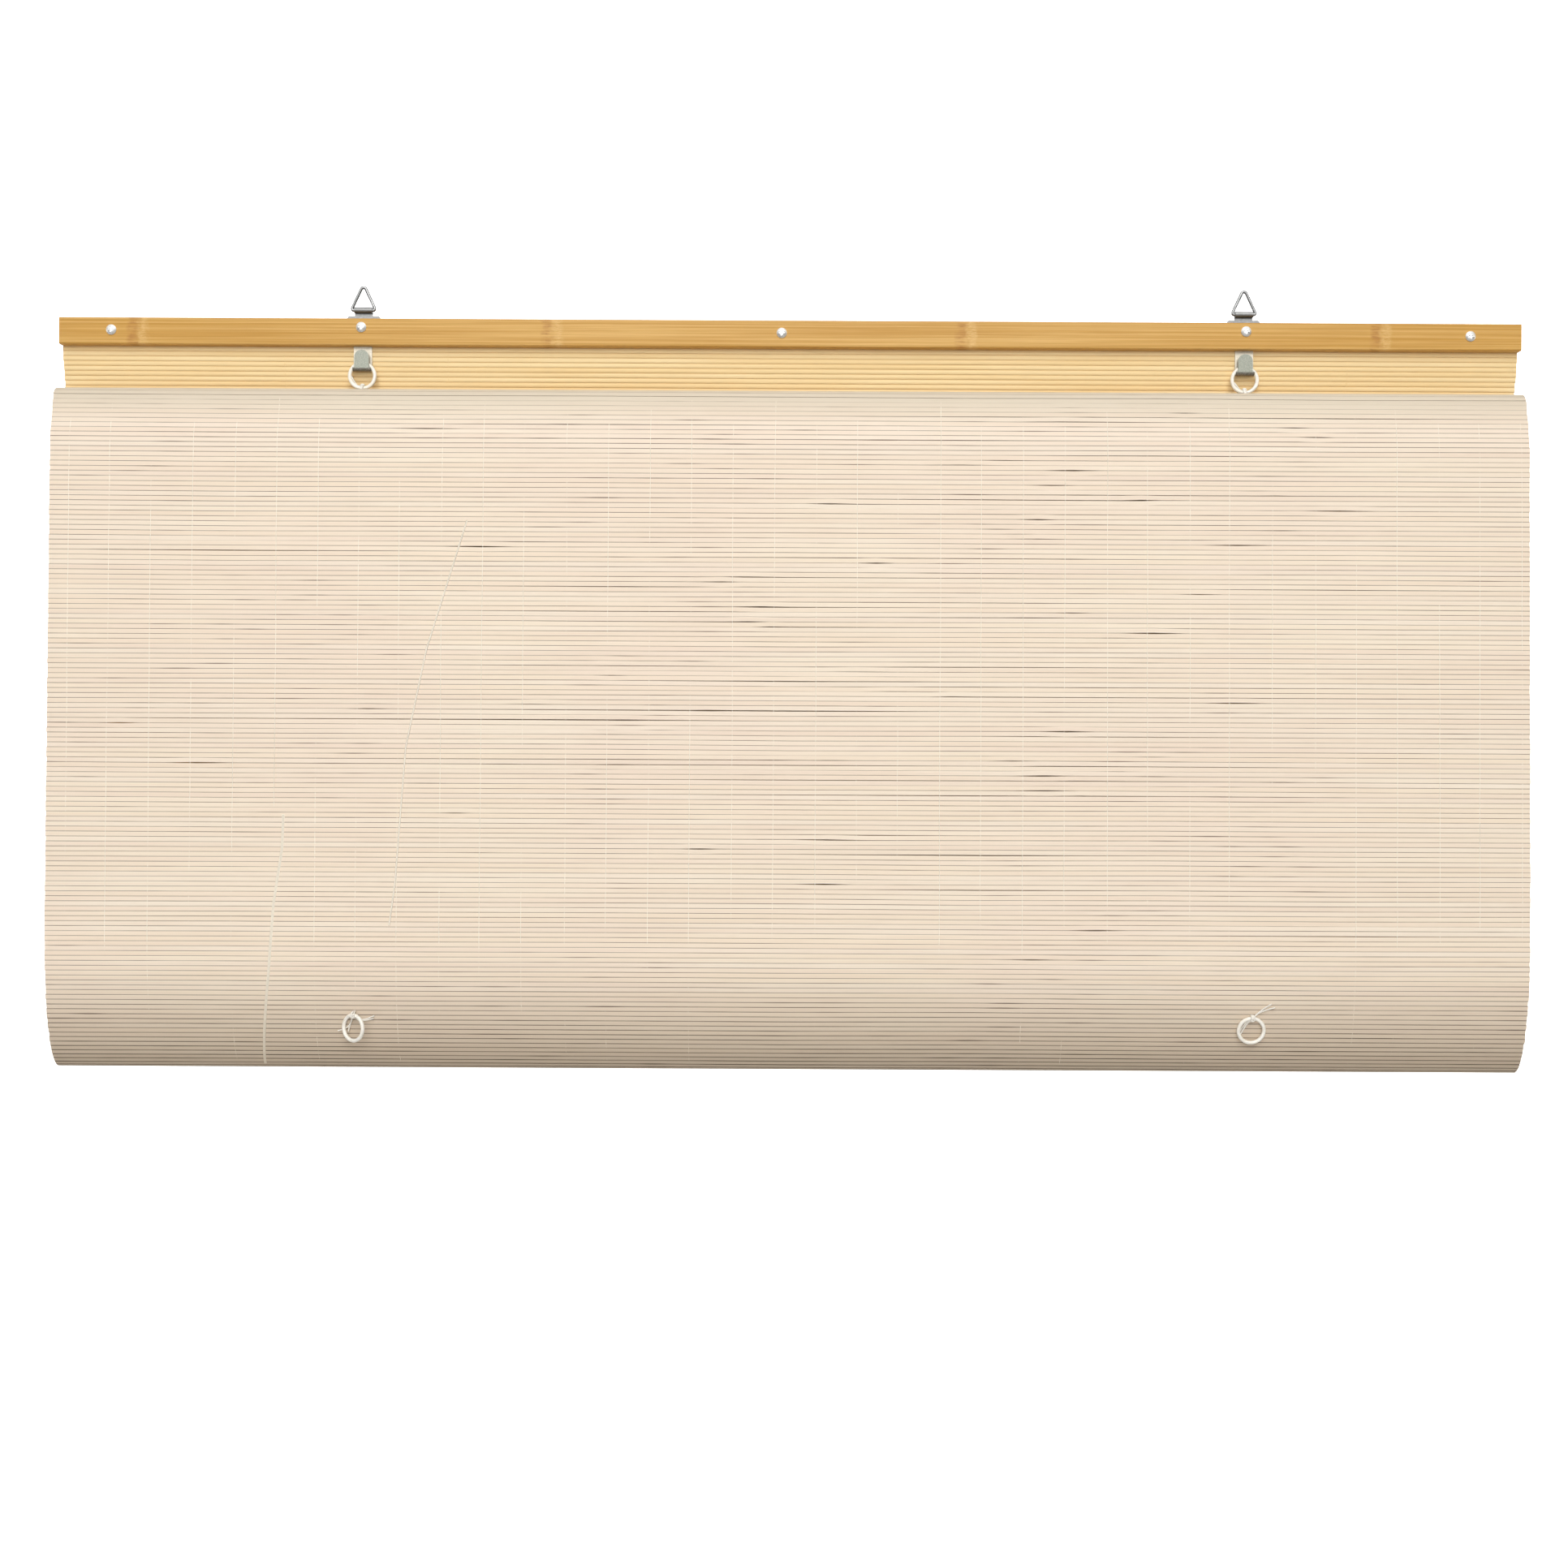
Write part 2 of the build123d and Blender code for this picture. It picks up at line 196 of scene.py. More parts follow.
# Camera, where the photograph was taken from
CAMERA_PLACE = (-0.0033, -1.4136, -0.3695)
CAMERA_ROLL = 0.0050
CAMERA_LENS = 39.18
CAMERA_SENSOR = 36
CAMERA_REACH = 50

# Studio: each light's name, place, size and power
STAGE_SIZE = 12
FLOOR_PLACE = (0, 0.5, -0.95)
WALL_PLACE = (0, 3.0, 0)
LIGHT_TARGET = (0, 0, -0.3)
LIGHTS = (
    ("key_light", (0.2, -3.4, 2.6), 3.4, 149.0),
    ("front_light", (-0.4, -3.6, 0.2), 2.4, 42.0),
    ("left_back_light", (-2.6, 2.3, 1.2), 1.8, 66.0),
    ("right_back_light", (2.6, 2.3, 1.2), 1.8, 66.0),
    ("left_end_light", (-3.2, 0.4, -0.2), 0.8, 40.0),
    ("right_end_light", (3.2, 0.4, -0.2), 0.8, 40.0),
)
AIR_LIGHT = 0.08
AIR_SEEN = 0.9
STAGE_SEEN = 0.95


# Modelling helpers

def clear_selection():
    if bpy.context.object and bpy.context.object.mode != "OBJECT":
        bpy.ops.object.mode_set(mode="OBJECT")
    bpy.ops.object.select_all(action="DESELECT")


def only(obj):
    clear_selection()
    obj.select_set(True)
    bpy.context.view_layer.objects.active = obj


def choose_edges(obj, wanted):
    """Selects, in edit mode, the edges whose two ends pass the test."""
    shape = bmesh.from_edit_mesh(obj.data)
    shape.select_mode = {"EDGE"}
    for face in shape.faces:
        face.select = False
    for edge in shape.edges:
        edge.select = wanted(edge.verts[0].co, edge.verts[1].co)
    shape.select_flush_mode()
    bmesh.update_edit_mesh(obj.data)


def joined(pieces, name):
    only(pieces[0])
    for piece in pieces[1:]:
        piece.select_set(True)
    bpy.ops.object.join()
    piece = bpy.context.object
    piece.name = name
    piece.data.name = name
    return piece


def dress(obj, material):
    obj.data.materials.clear()
    obj.data.materials.append(material)


# Course of the mat

def rounded_run(corners, radii):
    """Straight runs with each inner corner rounded to its radius."""
    line = [np.array(corners[0], float)]
    for before, corner, after, radius in zip(corners, corners[1:], corners[2:], radii):
        before, corner, after = (np.array(p, float) for p in (before, corner, after))
        arriving = (corner - before) / np.linalg.norm(corner - before)
        leaving = (after - corner) / np.linalg.norm(after - corner)
        turn = math.atan2(arriving[0] * leaving[1] - arriving[1] * leaving[0], arriving @ leaving)
        start = corner - arriving * radius * math.tan(abs(turn) / 2)
        side = np.array([-arriving[1], arriving[0]]) * math.copysign(1, turn)
        centre = start + side * radius
        spoke = start - centre
        for step in np.linspace(0, turn, CORNER_STEPS):
            c, s = math.cos(step), math.sin(step)
            line.append(centre + np.array([c * spoke[0] - s * spoke[1], s * spoke[0] + c * spoke[1]]))
    line.append(np.array(corners[-1], float))
    return line


def mat_course():
    """Middle line of the mat, from the rail down, round the loop, up the front and down the tail."""
    rear_start = LOOP_BOTTOM + LOOP_REAR_HEIGHT
    front_start = LOOP_BOTTOM + LOOP_FRONT_HEIGHT
    rear = rounded_run(
        [(CLAMP_Y, CLAMP_TOP), (CLAMP_Y, REAR_BEND_Z), (BULGE_Y, BULGE_Z), (BULGE_Y, rear_start)],
        [REAR_BEND_RADIUS, BULGE_RADIUS],
    )
    quarter = np.linspace(0, math.pi / 2, QUARTER_STEPS)
    low_y = LOOP_Y + (BULGE_Y - LOOP_Y) * np.cos(quarter)
    low_z = rear_start - LOOP_REAR_HEIGHT * np.sin(quarter)
    rise_y = LOOP_Y + (FRONT_Y - LOOP_Y) * np.sin(quarter)
    rise_z = front_start - LOOP_FRONT_HEIGHT * np.cos(quarter)
    crest_y = SHOULDER_Y + (FOLD_CREST_Z - SHOULDER_Z) * math.tan(FOLD_LEAN)
    tail_y = crest_y + FOLD_RADIUS * math.tan((math.pi / 2 - FOLD_LEAN) / 2) + FOLD_FLAT + FOLD_RADIUS
    front = rounded_run(
        [
            (FRONT_Y, front_start),
            (FRONT_Y, front_start + FRONT_STRAIGHT_RISE),
            (SHOULDER_Y, SHOULDER_Z),
            (crest_y, FOLD_CREST_Z),
            (tail_y, FOLD_CREST_Z),
            (tail_y, TAIL_LOW_Z),
        ],
        [FRONT_SWEEP_RADIUS, SHOULDER_RADIUS, FOLD_RADIUS, FOLD_RADIUS],
    )
    low = list(zip(low_y, low_z))
    rise = list(zip(rise_y, rise_z))
    line = np.array(rear + low[1:] + rise[1:] + front[1:]) * MM
    steps = np.linalg.norm(np.diff(line, axis=0), axis=1)
    line = line[np.concatenate([[True], steps > SAME_PLACE])]
    along = np.concatenate([[0], np.cumsum(np.linalg.norm(np.diff(line, axis=0), axis=1))])
    even = np.arange(0, SLAT_PITCH * (SLAT_COUNT + 1), COURSE_STEP)
    even_line = np.stack([np.interp(even, along, line[:, k]) for k in (0, 1)], axis=1)
    heading = np.gradient(even_line, COURSE_STEP, axis=0)
    heading /= np.linalg.norm(heading, axis=1)[:, None]
    return even, even_line, heading


COURSE_AT, COURSE, HEADING = mat_course()
LOWEST = int(np.argmin(COURSE[:, 1]))


def on_mat(along, out=0.0):
    """Y, Z and heading of places at a distance along the mat, raised off its middle by out."""
    y, z, hy, hz = (
        np.interp(along, COURSE_AT, column)
        for column in (COURSE[:, 0], COURSE[:, 1], HEADING[:, 0], HEADING[:, 1])
    )
    return y - hz * out, z + hy * out, hy, hz


# Slats

def model_slat():
    """One slat: a bar with a low crown on its pith side and rounded rind edges, cut so that it can bow."""
    clear_selection()
    bpy.ops.mesh.primitive_cube_add(size=1)
    slat = bpy.context.object
    bpy.ops.object.mode_set(mode="EDIT")
    bpy.ops.mesh.select_all(action="SELECT")
    bpy.ops.transform.resize(value=(SLAT_LENGTH, SLAT_WIDTH, SLAT_THICKNESS))
    choose_edges(slat, lambda a, b: abs(a.y - b.y) > SLAT_WIDTH / 2 and a.z > 0 and b.z > 0)
    bpy.ops.mesh.subdivide(number_cuts=1)
    choose_edges(slat, lambda a, b: abs(a.y) < SLAT_WIDTH / 4 and abs(b.y) < SLAT_WIDTH / 4)
    bpy.ops.transform.translate(value=(0, 0, PITH_CROWN))
    choose_edges(slat, lambda a, b: abs(a.x - b.x) > MAT_WIDTH / 2 and a.z < 0)
    bpy.ops.mesh.bevel(offset=RIND_ROUNDING, segments=1, affect="EDGES")
    choose_edges(slat, lambda a, b: abs(a.x - b.x) > MAT_WIDTH / 2)
    bpy.ops.mesh.subdivide(number_cuts=SLAT_CUTS)
    only(slat)
    bpy.ops.object.shade_smooth_by_angle(angle=SMOOTH_ANGLE)
    return slat


def waves(x, number, height, lengths, phases):
    """Slow waves along a slat that its neighbours share in part."""
    total = np.zeros_like(x)
    for length, (start, drift, fade) in zip(lengths, phases):
        ripple = np.sin(x / length * 2 * math.pi + start + drift * number)
        total += ripple * math.cos(fade + WAVE_FADE * number * (1 + drift))
    return height * total


def draw_slits():
    """For each slit its place along the rail, half length and half height, by the slat above it."""
    slits = {}
    for rows, middle, spread, amount in SLIT_PATCHES:
        for _ in range(amount):
            above = int(chance.integers(*rows))
            place = chance.normal(middle, spread)
            slits[above] = (place, chance.uniform(*SLIT_HALF_LENGTHS), chance.uniform(*SLIT_HALF_HEIGHTS))
    return slits


def slat_columns(plain, slits):
    """Places of a slat's cross cuts, with three of them moved to each slit beside it."""
    columns = plain.copy()
    for middle, half, _ in slits:
        nearest = np.argmin(np.abs(plain - middle))
        nearest = int(np.clip(nearest, SLIT_EDGE_CUTS, len(plain) - 1 - SLIT_EDGE_CUTS))
        columns[nearest - 1 : nearest + 2] = middle - half, middle, middle + half
    return np.sort(columns)


def slat_bow(number, x, pulls, shared):
    """How far a slat bows along the mat: little near the rail, and away from each slit beside it."""
    bow = waves(x, number, BOW_HEIGHT, BOW_LENGTHS, shared)
    bow *= min(1.0, STRAIGHT_BOW_SHARE + max(number - STRAIGHT_SLATS, 0) * BOW_GROWTH)
    for (middle, half, height), way in pulls:
        bow += way * height * np.clip(1 - np.abs(x - middle) / half, 0, 1)
    return bow


def slat_places(number, corners, plain, slits, shared):
    """Places of the corners of one slat on the mat."""
    pulls = [(slits[row], way) for row, way in ((number, -1), (number - 1, 1)) if row in slits]
    x = np.interp(corners[:, 0], plain, slat_columns(plain, [slit for slit, _ in pulls]))
    bow = slat_bow(number, x, pulls, shared)
    x = x + chance.uniform(-END_PLAY, END_PLAY)
    along = np.clip((number + 0.5) * SLAT_PITCH + bow, 0, SLAT_COUNT * SLAT_PITCH)
    y, z, hy, hz = on_mat(along)
    twist = np.clip(chance.normal(0, TWIST_SPREAD), -TWIST_LIMIT, TWIST_LIMIT)
    twist = twist + waves(x, number * TWIST_NUMBER_SCALE, TWIST_HEIGHT, TWIST_LENGTHS, shared)
    a = corners[:, 1] * chance.uniform(*WIDTH_SHARES)
    b = corners[:, 2] * chance.uniform(*THICKNESS_SHARES)
    a, b = a * np.cos(twist) - b * np.sin(twist), a * np.sin(twist) + b * np.cos(twist)
    return np.stack([x, y + hy * a - hz * b, z + hz * a + hy * b], axis=1)


def part_of_mat(number):
    if number < FIRST_FRONT_SLAT:
        return "mat_rear_slats"
    if number < FIRST_TAIL_SLAT:
        return "mat_front_slats"
    return "mat_tail_slats"


def lay_slats():
    """All slats, copied from one, with marks that their material reads, as three pieces."""
    model = model_slat()
    corners = np.zeros(len(model.data.vertices) * 3)
    model.data.vertices.foreach_get("co", corners)
    corners = corners.reshape(-1, 3)
    plain = np.linspace(-SLAT_LENGTH / 2, SLAT_LENGTH / 2, SLAT_CUTS + 2)
    shared = [tuple(chance.uniform(0, WAVE_TURN, 3) * WAVE_PHASE_SHARES) for _ in BOW_LENGTHS]
    slits = draw_slits()
    groups = {}
    for number in range(SLAT_COUNT):
        slat = model.copy()
        slat.data = model.data.copy()
        bpy.context.collection.objects.link(slat)
        places = slat_places(number, corners, plain, slits, shared)
        slat.data.vertices.foreach_set("co", places.ravel())
        marks = {
            "tone": np.full(len(corners), chance.uniform(0, 1)),
            "side": corners[:, 2] / SLAT_THICKNESS * 2,
            "seam": number + 0.5 + corners[:, 1] / SLAT_WIDTH,
        }
        for name, values in marks.items():
            slat.data.attributes.new(name, "FLOAT", "POINT").data.foreach_set("value", values)
        groups.setdefault(part_of_mat(number), []).append(slat)
    bpy.data.objects.remove(model)
    return [joined(slats, name) for name, slats in groups.items()]


# Warp threads and the loose strands that show on the face

def strand_object(name, runs, radius, kind="POLY", sides=0):
    """Thread runs as a curve with a round section, made a mesh."""
    curve = bpy.data.curves.new(name, "CURVE")
    curve.dimensions = "3D"
    curve.bevel_depth = radius
    curve.bevel_resolution = sides
    curve.resolution_u = STRAND_CURVE_STEPS
    curve.use_fill_caps = True
    for run in runs:
        spline = curve.splines.new(kind)
        spline.points.add(len(run) - 1)
        for point, place in zip(spline.points, run):
            point.co = (*place, 1)
        if kind == "NURBS":
            spline.order_u = STRAND_CURVE_ORDER
            spline.use_endpoint_u = True
    obj = bpy.data.objects.new(name, curve)
    bpy.context.collection.objects.link(obj)
    only(obj)
    bpy.ops.object.convert(target="MESH")
    bpy.ops.object.shade_smooth()
    return bpy.context.object


def warp_threads(face):
    """One thread for each warp column, which shows here and there on one face of the mat."""
    runs = []
    places = (np.arange(SLAT_COUNT) + 0.5) * SLAT_PITCH
    free = slice(WARP_CLAMPED_SLATS, None)
    _, height, _, _ = on_mat(places)
    for column in range(WARP_COUNT):
        x = WARP_FIRST + column * WARP_SPACING + chance.uniform(-WARP_PLAY, WARP_PLAY)
        drift = np.cumsum(chance.normal(0, WARP_DRIFT, SLAT_COUNT))
        drift -= np.linspace(0, drift[-1], SLAT_COUNT)
        slow_sway = chance.uniform(*WARP_SWAYS, SLAT_COUNT // WARP_SWAY_STEP)
        sway = np.interp(places, places[::WARP_SWAY_STEP], slow_sway)
        sway += chance.uniform(0, WARP_UNEVENNESS, SLAT_COUNT)
        if column == PALE_COLUMN:
            sway[height > TAPE_TOP] += PALE_COLUMN_LIFT
            sway[height <= TAPE_TOP] = 0
        sway[(height < LOW_CURVE) | (height > CREST)] -= WARP_SINK
        y, z, _, _ = on_mat(places[free], face * sway[free])
        runs.append(list(zip(x + drift[free], y, z)))
    return strand_object("warp_front" if face > 0 else "warp_back", runs, WARP_RADIUS)


def front_run(heights, widths, lift):
    """A run over the front of the mat that follows places along the rail given by height."""
    crest = LOWEST + int(np.argmax(COURSE[LOWEST:, 1]))
    levels = np.arange(heights[0], heights[-1], STRAND_STEP)
    along = np.interp(levels, COURSE[LOWEST:crest, 1], COURSE_AT[LOWEST:crest])
    y, z, _, _ = on_mat(along, MAT_THICKNESS / 2 + lift)
    return list(zip(np.interp(levels, heights, widths), y, z))


def pale_tape():
    """Three warp threads that lie side by side and show as one pale line."""
    shifts = (-TAPE_SPACING, 0, TAPE_SPACING)
    runs = [front_run(TAPE_HEIGHTS, np.array(TAPE_PLACES) + shift, 0) for shift in shifts]
    return strand_object("pale_tape", runs, TAPE_RADIUS)


def stray_thread():
    return strand_object("stray_thread", [front_run(STRAY_HEIGHTS, STRAY_PLACES, STRAY_LIFT)], STRAY_RADIUS)


# Thread ties of the rings

def tie_frame(place):
    """Foot on the mat, way out of it and way along it, for a ring's wire at the place given."""
    gaps = np.hypot(COURSE[:, 0] - place.y, COURSE[:, 1] - place.z)
    foot = Vector((place.x, *COURSE[int(np.argmin(gaps))]))
    out = (place - foot).normalized()
    return foot, out, Vector((0, -out.z, out.y))


def windings(place):
    """Turns of thread that come out of the mat, round the ring's wire and back in."""
    foot, out, along = tie_frame(place)
    runs = []
    for turn in range(TIE_TURNS):
        shift = Vector(((turn - (TIE_TURNS - 1) / 2) * TURN_SPACING, 0, 0))
        lean = Vector((chance.uniform(-TURN_LEAN, TURN_LEAN), 0, 0))
        arc = []
        for angle in np.linspace(-math.pi / 2, math.pi / 2, TURN_STEPS):
            spoke = out * math.cos(angle) + along * math.sin(angle)
            arc.append(place + shift + lean * math.sin(angle) + spoke * TIE_RADIUS)
        middle = foot + shift * FOOT_SHIFT_SHARE
        spread = along * TIE_RADIUS * FOOT_SPREAD_SHARE
        runs.append([middle - spread, *arc, middle + spread])
    return runs


def knot(place):
    """Two small crossed loops just outside the turns, and their middle."""
    _, out, along = tie_frame(place)
    middle = place + out * (TIE_RADIUS + KNOT_STAND_OFF)
    sideways = Vector((1, 0, 0))
    run = [
        middle
        + along * (KNOT_HEIGHT * math.cos(angle))
        + sideways * (KNOT_WIDTH * math.sin(angle * KNOT_WIDTH_TURNS))
        + out * (KNOT_DEPTH * math.cos(angle * KNOT_DEPTH_TURNS))
        for angle in np.linspace(0, 4 * math.pi, KNOT_STEPS)
    ]
    return run, middle


def tied(name, place, tails):
    """Turns, knot and tails of one tie as one piece; each tail starts at the knot."""
    knot_run, middle = knot(place)
    runs = windings(place) + [knot_run] + [[middle, *tail] for tail in tails]
    return strand_object(name, runs, TIE_THREAD, kind="NURBS", sides=1)


def ring_tie_place(name, at_top):
    """Middle of a ring's wire where its tie holds it; the right hanging ring leans out from the mat."""
    low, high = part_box(name)
    x = (low[0] + high[0]) / 2
    y = (low[1] + high[1]) / 2 if name != "drop_ring_right" else low[1] + RING_WIRE / 2
    z = high[2] - RING_WIRE / 2 if at_top else low[2] + RING_WIRE / 2
    return Vector((x, y, z))


def by_ring(name, hangs, across, above, before):
    """A place by a ring: in front of the mat behind a hanging ring, or of the ring's own middle plane."""
    low, high = (np.array(corner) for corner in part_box(name))
    x, y, z = (low + high) / 2 + np.array((across, 0, above)) * MM
    if hangs:
        front = slice(LOWEST + 1, LOWEST + 1 + FRONT_SAMPLES)
        along = COURSE_AT[front][int(np.argmin(np.abs(COURSE[front, 1] - z)))]
        y, z = (float(value) for value in on_mat(along, MAT_THICKNESS / 2)[:2])
    return Vector((x, y - before * MM, z))


# Shader helpers

def shader(name):
    material = bpy.data.materials.new(name)
    material.use_nodes = True
    tree = material.node_tree
    return material, tree, tree.nodes["Principled BSDF"]


def add(tree, kind, **values):
    """A node with its settings and unlinked inputs given by name."""
    node = tree.nodes.new(kind)
    for key, value in values.items():
        if hasattr(node, key):
            setattr(node, key, value)
        else:
            node.inputs[key].default_value = value
    return node


def object_place(tree):
    return tree.nodes.new("ShaderNodeTexCoord").outputs["Object"]


def axes(tree, vector):
    split = tree.nodes.new("ShaderNodeSeparateXYZ")
    tree.links.new(vector, split.inputs[0])
    return split.outputs


def vector_of(tree, *parts):
    node = tree.nodes.new("ShaderNodeCombineXYZ")
    for part, socket in zip(parts, node.inputs):
        tree.links.new(part, socket)
    return node.outputs[0]


def noise(tree, vector, **values):
    node = add(tree, "ShaderNodeTexNoise", **values)
    tree.links.new(vector, node.inputs["Vector"])
    return node.outputs[0]


def mark(tree, name):
    return add(tree, "ShaderNodeAttribute", attribute_name=name).outputs["Fac"]


def math_node(tree, operation, first, second=None, third=None):
    node = tree.nodes.new("ShaderNodeMath")
    node.operation = operation
    for socket, value in zip(node.inputs, (first, second, third)):
        if value is None:
            continue
        if isinstance(value, (int, float)):
            socket.default_value = value
        else:
            tree.links.new(value, socket)
    return node.outputs[0]


def times(tree, first, second):
    return math_node(tree, "MULTIPLY", first, second)


def ramp(tree, source, low, high, to_low=0.0, to_high=1.0):
    """A smooth step of a value from one range to another."""
    node = tree.nodes.new("ShaderNodeMapRange")
    node.interpolation_type = "SMOOTHSTEP"
    tree.links.new(source, node.inputs["Value"])
    for key, value in (("From Min", low), ("From Max", high), ("To Min", to_low), ("To Max", to_high)):
        node.inputs[key].default_value = value
    return node.outputs["Result"]


def mix(tree, factor, first, second):
    """A mix of two colours, each a fixed one or another node's."""
    node = tree.nodes.new("ShaderNodeMix")
    node.data_type = "RGBA"
    tree.links.new(factor, node.inputs[0])
    for socket, value in ((node.inputs[6], first), (node.inputs[7], second)):
        if isinstance(value, tuple):
            socket.default_value = (*value, 1)
        else:
            tree.links.new(value, socket)
    return node.outputs[2]


def bump(tree, surface, height, strength, distance):
    node = add(tree, "ShaderNodeBump", Strength=strength, Distance=distance)
    tree.links.new(height, node.inputs["Height"])
    tree.links.new(node.outputs[0], surface.inputs["Normal"])


def fibre_group():
    """Long bamboo fibres: broad streaks, fine lines and a height, along the first axis."""
    group = bpy.data.node_groups.new("bamboo_fibre", "ShaderNodeTree")
    group.interface.new_socket("Vector", in_out="INPUT", socket_type="NodeSocketVector")
    for name in ("Along", "Across"):
        group.interface.new_socket(name, in_out="INPUT", socket_type="NodeSocketFloat")
    for name in ("Streak", "Line", "Height"):
        group.interface.new_socket(name, in_out="OUTPUT", socket_type="NodeSocketFloat")
    group.interface.new_socket("Vector", in_out="OUTPUT", socket_type="NodeSocketVector")
    enter = group.nodes.new("NodeGroupInput").outputs
    leave = group.nodes.new("NodeGroupOutput").inputs
    scaled = group.nodes.new("ShaderNodeVectorMath")
    scaled.operation = "MULTIPLY"
    group.links.new(enter["Vector"], scaled.inputs[0])
    group.links.new(vector_of(group, enter["Along"], enter["Across"], enter["Across"]), scaled.inputs[1])
    broad = noise(group, scaled.outputs[0], Scale=0.35, Detail=3.0, Roughness=0.55)
    fine = noise(group, scaled.outputs[0], Scale=1.6, Detail=4.0, Roughness=0.7)
    streak = ramp(group, broad, low=0.3, high=0.7)
    line = ramp(group, fine, low=0.36, high=0.64)
    group.links.new(streak, leave["Streak"])
    group.links.new(line, leave["Line"])
    group.links.new(math_node(group, "MULTIPLY_ADD", line, 0.6, streak), leave["Height"])
    group.links.new(scaled.outputs[0], leave["Vector"])
    return group


FIBRE = fibre_group()


def fibre(tree, vector, along, across):
    """Outputs of the fibre group, with its scale along and across the fibres."""
    node = tree.nodes.new("ShaderNodeGroup")
    node.node_tree = FIBRE
    tree.links.new(vector, node.inputs["Vector"])
    node.inputs["Along"].default_value = along
    node.inputs["Across"].default_value = across
    return node.outputs


def srgb(red, green, blue):
    """A screen colour as the linear colour that shaders take."""
    return tuple(((c / 255 + 0.055) / 1.055) ** 2.4 for c in (red, green, blue))


# Colours
RAIL_DEEP = srgb(199, 149, 68)
RAIL_LIGHT = srgb(224, 180, 106)
RAIL_LINE = srgb(172, 122, 54)
NODE_BROWN = srgb(172, 116, 58)
NODE_PALE = srgb(237, 202, 142)
PITH_CREAM = srgb(246, 233, 214)
PITH_STREAK = srgb(241, 223, 203)
PITH_TINT = srgb(246, 229, 203)
PITH_WARM = srgb(242, 222, 204)
PITH_LINE = srgb(214, 192, 168)
# Painted shade: darker pith on the top of the fold, which faces up to the light
PITH_CREST_SHADE = srgb(214, 202, 180)
# Painted shade: pith painted darker on the low curve, where the mat turns under
PITH_LOW_SHADE = srgb(176, 158, 134)
# Painted shade in the seams between slats, and its darker share on the low curve
SEAM_SHADE = srgb(140, 121, 106)
SEAM_LOW_SHADE = srgb(86, 73, 58)
RIND_YELLOW = srgb(252, 229, 180)
RIND_STREAK = srgb(244, 214, 158)
RIND_TINT = srgb(240, 208, 150)
# Painted shade in the grooves between rounded rind edges
RIND_GROOVE_SHADE = srgb(190, 140, 84)
RING_WHITE = srgb(252, 248, 238)
RING_CREAM = srgb(246, 240, 227)
# Painted shade: threads painted darker on the low curve
THREAD_LOW_SHADE = srgb(196, 180, 152)
# Painted light and shade on one plated steel: lit behind, shaded on the tongue, dark in the bend
HOOK_LIT_PLATING = ((0.56, 0.52, 0.43), (0.48, 0.44, 0.36))
HOOK_TONGUE_SHADE = ((0.21, 0.22, 0.185), (0.28, 0.285, 0.24))
HOOK_BEND_SHADE = ((0.20, 0.185, 0.155), (0.32, 0.30, 0.255))
FLOOR_PAINT = (0.42, 0.41, 0.40)
WALL_PAINT = (0.8, 0.8, 0.8)

# Places that materials follow
NODE_SPACING = 0.34
NODES_AHEAD = 10
FIRST_NODE = -0.526
NODE_WOBBLE = 0.010
BROWN_BESIDE_NODE = 0.008
# Painted shade: heights between which the low curve is painted darker
LOW_SHADE_FLOOR = -0.61
LOW_SHADE_TOP = -0.505
# Painted shade: heights and depths that bound the darker top of the fold
CREST_SHADE_EDGES = (-0.082, -0.05)
CREST_SHADE_BACK = (-0.012, -0.008)
SLIT_LENGTH = 0.046
SLIT_STAGGER = 9.0
SIDE_SHIFT = 0.004
# Where the hook's painted shade starts on the tongue and in the bend
TONGUE_DEPTHS = (0.0012, 0.0020)
BEND_HEIGHTS = (0.0016, 0.0030)


# Painted shade, darker towards the bottom of the low curve
def low_shade_mask(tree, z, strength=1.0):
    return ramp(tree, z, LOW_SHADE_FLOOR, LOW_SHADE_TOP, strength, 0.0)


# Bamboo

def to_node(tree, x, node_x):
    """How far a place along the rail is from the nearest node, with one of them at node_x."""
    ahead = math_node(tree, "ADD", x, NODES_AHEAD * NODE_SPACING - node_x)
    return math_node(tree, "PINGPONG", ahead, NODE_SPACING / 2)


def bamboo_strip():
    """Varnished bamboo of the rail: at each node pale flecks, and a brown patch beside them."""
    material, tree, surface = shader("bamboo_strip")
    place = object_place(tree)
    x, _, _ = axes(tree, place)
    grain = fibre(tree, place, along=9.0, across=1500.0)
    flecks = fibre(tree, place, along=170.0, across=1500.0)
    wobble = noise(tree, place, Scale=160.0, Detail=2.0)
    uneven_x = math_node(tree, "MULTIPLY_ADD", wobble, NODE_WOBBLE, x)
    to_pale = to_node(tree, uneven_x, FIRST_NODE)
    to_brown = to_node(tree, uneven_x, FIRST_NODE - BROWN_BESIDE_NODE)
    pale = ramp(tree, to_pale, low=0.0, high=0.0065, to_low=0.52, to_high=0.0)
    brown = ramp(tree, to_brown, low=0.001, high=0.007, to_low=0.75, to_high=0.0)
    colour = mix(tree, grain["Streak"], RAIL_DEEP, RAIL_LIGHT)
    colour = mix(tree, times(tree, grain["Line"], 0.30), colour, RAIL_LINE)
    colour = mix(tree, times(tree, brown, flecks["Streak"]), colour, NODE_BROWN)
    colour = mix(tree, times(tree, pale, flecks["Line"]), colour, NODE_PALE)
    tree.links.new(colour, surface.inputs["Base Color"])
    rough = ramp(tree, grain["Line"], low=0, high=1, to_low=0.42, to_high=0.55)
    tree.links.new(rough, surface.inputs["Roughness"])
    surface.inputs["Specular IOR Level"].default_value = 0.3
    bump(tree, surface, grain["Height"], strength=0.12, distance=0.0004)
    return material


